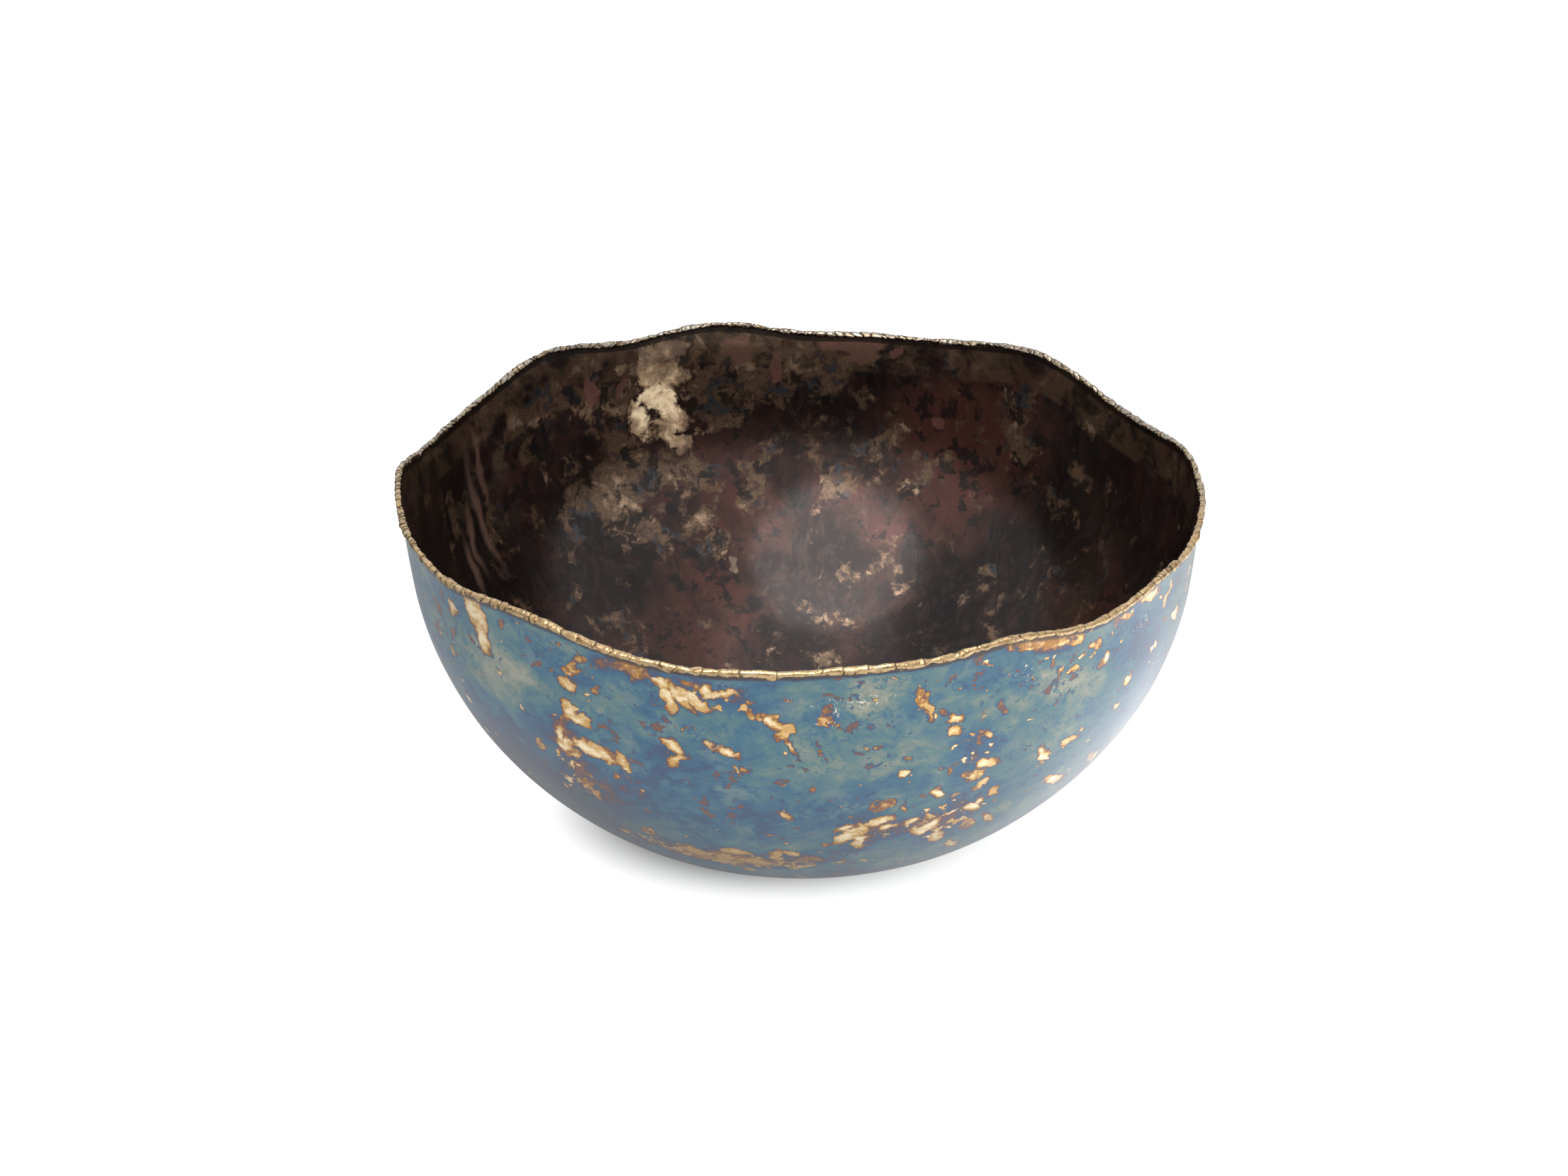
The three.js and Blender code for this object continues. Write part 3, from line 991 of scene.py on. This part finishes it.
def dark_colour(look, ragged, flowing, tone):
    """Near-black brown with maroon clouds, brown mottling, scorches and dusty patches."""
    clouds = drifted(look, look.pattern("clouds", flowing), flowing, inner_face, MAROON_AREAS)
    colour = look.ramp(clouds, INSIDE_DARKS)
    mottling = look.pattern("mottling", ragged)
    mottling = drifted(look, mottling, flowing, inner_face, MOTTLED_AREAS)
    browns = look.ramp(tone, INSIDE_BROWNS)
    colour = look.mix(look.between(mottling, 0.54, 0.64), colour, browns)
    scorched = look.between(look.pattern("scorches", ragged), 0.53, 0.57, 0.0, 0.88)
    colour = look.mix(scorched, colour, SCORCH_COLOUR)
    dusty = look.swing(tone, 0.5, 0.9, closest(look, ragged, inner_face, DUSTY_SPOTS, 3))
    return look.mix(look.between(dusty, 0.58, 0.68, 0.0, 0.8), colour, DUSTY_COLOUR)


def gold_film(look, coords, ragged, holes):
    """The film over the worn gold patch and the gold flecks scattered elsewhere."""
    groups = ((GOLD_SPOTS, -0.02, -0.4),)
    placed = placed_spots(look, ragged, inner_face, groups, GOLD_FILM_PER_MM)
    gold = look.swing(holes, 0.47, 1.1, placed)
    clusters = look.pattern("wear clusters", coords)
    worn = look.linear(clusters, 0.5, look.pattern("wear", ragged))
    return look.smaller(gold, look.swing(worn, 1.02, -4.0, 0.12))


def gold_colour(look, ragged, flowing):
    """Gold that is brightest where the photo shows its glare."""
    # Painted highlight: brighter gold round the glare spot.
    glare = closeness(look, flowing, inner_face, GOLD_GLARE, 2.2)
    lustre = look.linear(glare, 0.34, look.pattern("lustre", ragged))
    return look.ramp(look.maths("SUBTRACT", lustre, 0.11), INSIDE_GOLDS)


def inside_film():
    look = Look("darkened_sheet", INSIDE_PATTERNS)
    coords = object_millimetres(look)
    ragged = warped(look, coords, INSIDE_RAGGED)
    flowing = warped(look, coords, INSIDE_FLOWING)
    tone = look.pattern("tone", ragged)
    holes = look.pattern("holes", ragged)
    colour = dark_colour(look, ragged, flowing, tone)

    gold = gold_film(look, coords, ragged, holes)
    bareness = look.between(gold, 0.17, 0.01)
    colour = look.mix(look.between(gold, 0.26, 0.15, 0.0, 0.9), colour, SINGED_COLOUR)
    colour = look.mix(bareness, colour, gold_colour(look, ragged, flowing))

    # Painted reflections: the smoky stretch on the left of the inside and the wavy bright runs in
    # it.
    reflection_haze = closeness(look, flowing, inner_face, PAINTED_REFLECTION_AREA, 1.8)
    reflection_haze = look.times(reflection_haze, look.between(tone, 0.42, 0.6))
    colour = look.mix(look.times(reflection_haze, 0.55), colour, PAINTED_REFLECTION_HAZE_COLOUR)
    reflection_runs = closest(look, flowing, inner_face, PAINTED_REFLECTION_RUNS, 2.0)
    colour = look.mix(look.between(reflection_runs, 0.0, 0.8, 0.0, 0.8), colour, PAINTED_REFLECTION_RUN_COLOUR)
    brushed = look.between(look.pattern("brush marks", flowing), 0.46, 0.66, 0.0, 0.16)
    colour = look.mix(brushed, colour, BRUSHED_COLOUR)

    below_edge = look.attribute("below edge")
    # Painted reflection: the top band of the inside, down to about 11 mm below the edge, is
    # lightened as a slight flare at the lip would reflect it.
    lip_reflection = look.between(look.swing(holes, 0.5, 3.0, below_edge), 12.0, 10.4)
    lip_reflection = look.times(lip_reflection, look.between(tone, 0.4, 0.56, 0.02, 0.4))
    colour = look.mix(lip_reflection, colour, LIP_REFLECTION_COLOUR)
    # A dark joint line with painted shade in the crease just under the bead.
    colour = look.mix(look.between(below_edge, 0.7, 0.1, 0.0, 0.85), colour, CREASE_JOINT_AND_SHADE_COLOUR)

    metallic = look.linear(bareness, -0.45, 0.7)
    roughness = look.linear(bareness, 0.2, 0.2)
    normal = look.bump(look.pattern("waves", coords), 0.15, 1.0)
    coat = {"coat_weight": 0.15, "coat_roughness": 0.16, "coat_ior": 1.5}
    return look.finish(colour, metallic, roughness, normal, **coat)


# --- The braze ---

# Braze colours, from the pale silver of the painted reflection at the back to warm gold in front.
BRAZE_COLOURS = (
    (0.00, (0.34, 0.31, 0.265)), (0.35, (0.46, 0.38, 0.27)), (0.75, (0.54, 0.38, 0.2)),
    (1.00, (0.66, 0.48, 0.27)),
)
TAN_COLOUR = (0.3, 0.175, 0.075)
DARK_REFLECTION_LINE_COLOUR = (0.21, 0.13, 0.06)
JOINT_AND_SHADE_COLOUR = (0.06, 0.038, 0.022)
BRAZE_PATTERNS = {
    "blotches": (5, 4, 0.62, 41),
    "tan": (2.2, 3, 0.6, 42),
    "polish": (2.2, 2, 0.5, 43),
    "dimples": (1.1, 3, 0.6, 44),
}


def braze():
    """Pale silver-gold at the back, a painted reflection, and warmer gold in front, with a painted
    dark reflection line, dark joints, and painted shade on its underside and in its dents.
    """
    look = Look("brazed_bead", BRAZE_PATTERNS)
    coords = object_millimetres(look)
    blotches = look.pattern("blotches", coords)
    # Painted reflection: the bead is paler and more silver towards the back, where it reflects
    # more light, and warmer gold in front.
    frontness = look.between(look.split(coords)["Y"], 60, -70)
    golden = look.linear(frontness, 0.75, 0.12)
    golden = look.swing(blotches, 0.5, 1.1, golden, clamp=True)
    colour = look.ramp(golden, BRAZE_COLOURS)
    tan = look.between(look.pattern("tan", coords), 0.5, 0.68, 0.0, 0.8)
    colour = look.mix(look.times(tan, frontness), colour, TAN_COLOUR)
    # Painted reflection: the dark brown line along the bead, in patches.
    dark_reflection_line = look.between(look.attribute("dark reflection line"), 0.9, 1.0, 0.0, 0.75)
    dark_reflection_line = look.times(dark_reflection_line, look.between(blotches, 0.35, 0.6))
    colour = look.mix(dark_reflection_line, colour, DARK_REFLECTION_LINE_COLOUR)
    # Dark joints, and painted shade on the underside and in the dents.
    joints_and_shade = look.between(look.attribute("joints_and_shade"), 0.15, 1.25, 0.0, 0.88)
    colour = look.mix(joints_and_shade, colour, JOINT_AND_SHADE_COLOUR)
    roughness = look.between(look.pattern("polish", coords), 0.3, 0.75, 0.08, 0.3)
    normal = look.bump(look.pattern("dimples", coords), 0.38, 0.4)
    return look.finish(colour, 1.0, roughness, normal)


# --- Stage ---

CAMERA_TARGET = Vector((-6.0, 0.0, 83.2)) * MM
CAMERA_ELEVATION = math.radians(26.8)
CAMERA_DISTANCE = 1.3
CAMERA_LENS = 91.6
CAMERA_SENSOR = 36
CAMERA_CLIP = 0.05
WORLD_STRENGTH = 1.0
# Lights, as (name, place, target, width, radiance), in metres.
LIGHTS = (
    ("overhead", (0, -0.2, 1.9), (0, 0, 0), 1.6, 1.0),
    ("front", (-0.3, -1.1, 1.5), (0, 0, 0.06), 1.7, 3.6),
)
# The table's radius is in metres and its height in millimetres, a little under the foot.
FLOOR_RADIUS = 5.0
FLOOR_POINTS = 96
FLOOR_HEIGHT = -0.4
FLOOR_COLOUR = (0.3, 0.3, 0.3)
FLOOR_ROUGHNESS = 0.6
# Painted contact shadow: under the bowl the table's glow fades from the second strength to the
# first, between these two distances from the middle of the shade, which is an oval.
TABLE_SHADE_MIDDLE = (-10, 4, 0)
TABLE_SHADE_SHAPE = (0.8, 1, 1)
TABLE_SHADE = (34, 66)
TABLE_GLOW = (0.03, 0.92)
# The same for the card, which also glows differently at each azimuth round the bowl.
CARD_SHADE = (40, 170)
CARD_SHARE = (0.28, 1.0)
CARD_BRIGHTEST = 2.0
CARD_GLOWS = (
    (-180, 0.5), (-140, 0.42), (-100, 0.5), (-70, 0.72), (-35, 0.85), (0, 1.05), (45, 1.42),
    (72, 1.8), (98, 1.8), (120, 1.05), (140, 0.66), (180, 0.5),
)


def make_camera():
    data = bpy.data.cameras.new("camera")
    data.lens = CAMERA_LENS
    data.sensor_width = CAMERA_SENSOR
    data.clip_start = CAMERA_CLIP
    camera = bpy.data.objects.new("camera", data)
    back = Vector((0, -math.cos(CAMERA_ELEVATION), math.sin(CAMERA_ELEVATION)))
    camera.location = CAMERA_TARGET + CAMERA_DISTANCE * back
    camera.rotation_euler = (math.pi / 2 - CAMERA_ELEVATION, 0, 0)
    bpy.context.scene.collection.objects.link(camera)
    bpy.context.scene.camera = camera


def table_disc(name, height, look, strength):
    """A glowing disc on the ground. The look holds its shader, and strength its glow."""
    turns = np.radians(np.arange(FLOOR_POINTS) * 360 / FLOOR_POINTS)
    rim = np.stack([np.cos(turns), np.sin(turns), 0 * turns], axis=1) * FLOOR_RADIUS / MM
    rim[:, 2] = height
    disc = make_mesh(name, rim, [list(range(FLOOR_POINTS))], [0])
    look.feed(look.shader, {"Emission Color": (1, 1, 1), "Emission Strength": strength})
    disc.data.materials.append(look.material)
    return disc


def make_floor():
    """A white light table, whose own glow keeps the ground bright up to the bowl, and fades under
    it in a painted contact shadow.
    """
    look = Look("white_table")
    from_foot = look.vector("SUBTRACT", object_millimetres(look), TABLE_SHADE_MIDDLE)
    from_axis = look.vector("LENGTH", look.stretch(from_foot, TABLE_SHADE_SHAPE))
    look.finish(FLOOR_COLOUR, 0.0, FLOOR_ROUGHNESS, specular_ior_level=0.0)
    table_disc("floor", FLOOR_HEIGHT, look, look.between(from_axis, *TABLE_SHADE, *TABLE_GLOW))


def make_light_card():
    """A card on the table that only gloss sees: bright to the right, flagged off to the left."""
    look = Look("light_card")
    coords = object_millimetres(look)
    split = look.split(coords)
    azimuth = look.maths("ARCTAN2", split["X"], look.times(split["Y"], -1))
    turn = look.linear(azimuth, 0.5 / math.pi, 0.5)
    stops = [(0.5 + place / 360, glow / CARD_BRIGHTEST) for place, glow in CARD_GLOWS]
    glow = look.times(look.ramp(turn, stops, smooth=True), CARD_BRIGHTEST)
    share = look.between(look.vector("LENGTH", coords), *CARD_SHADE, *CARD_SHARE)
    look.finish((0, 0, 0), 0.0, 1.0, specular_ior_level=0.0)
    card = table_disc("light_card", FLOOR_HEIGHT / 2, look, look.times(glow, share))
    for ray in ("camera", "diffuse", "transmission", "shadow"):
        setattr(card, "visible_" + ray, False)


def softbox(name, place, target, width, radiance):
    """A round soft light of a given brightness, which the camera doesn't see."""
    data = bpy.data.lights.new(name, "AREA")
    data.shape = "DISK"
    data.size = width
    data.energy = radiance * (math.pi * width / 2) ** 2
    light = bpy.data.objects.new(name, data)
    light.location = place
    light.rotation_euler = (Vector(target) - Vector(place)).to_track_quat("-Z", "Y").to_euler()
    light.visible_camera = False
    bpy.context.scene.collection.objects.link(light)


def make_lights():
    world = bpy.data.worlds.new("studio")
    world.use_nodes = True
    background = world.node_tree.nodes["Background"]
    background.inputs["Color"].default_value = (1, 1, 1, 1)
    background.inputs["Strength"].default_value = WORLD_STRENGTH
    bpy.context.scene.world = world
    for light in LIGHTS:
        softbox(*light)


# --- Assembly ---

bpy.context.scene.view_settings.view_transform = "Standard"
make_camera()
make_floor()
make_light_card()
make_lights()

shell = make_shell()
shell.data.materials.append(outside_film())
shell.data.materials.append(inside_film())
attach(shell, "root")
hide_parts("bowl_shell")

bead = make_bead()
bead.data.materials.append(braze())
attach(bead, "root")
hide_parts("rim_bead")

bpy.context.view_layer.update()
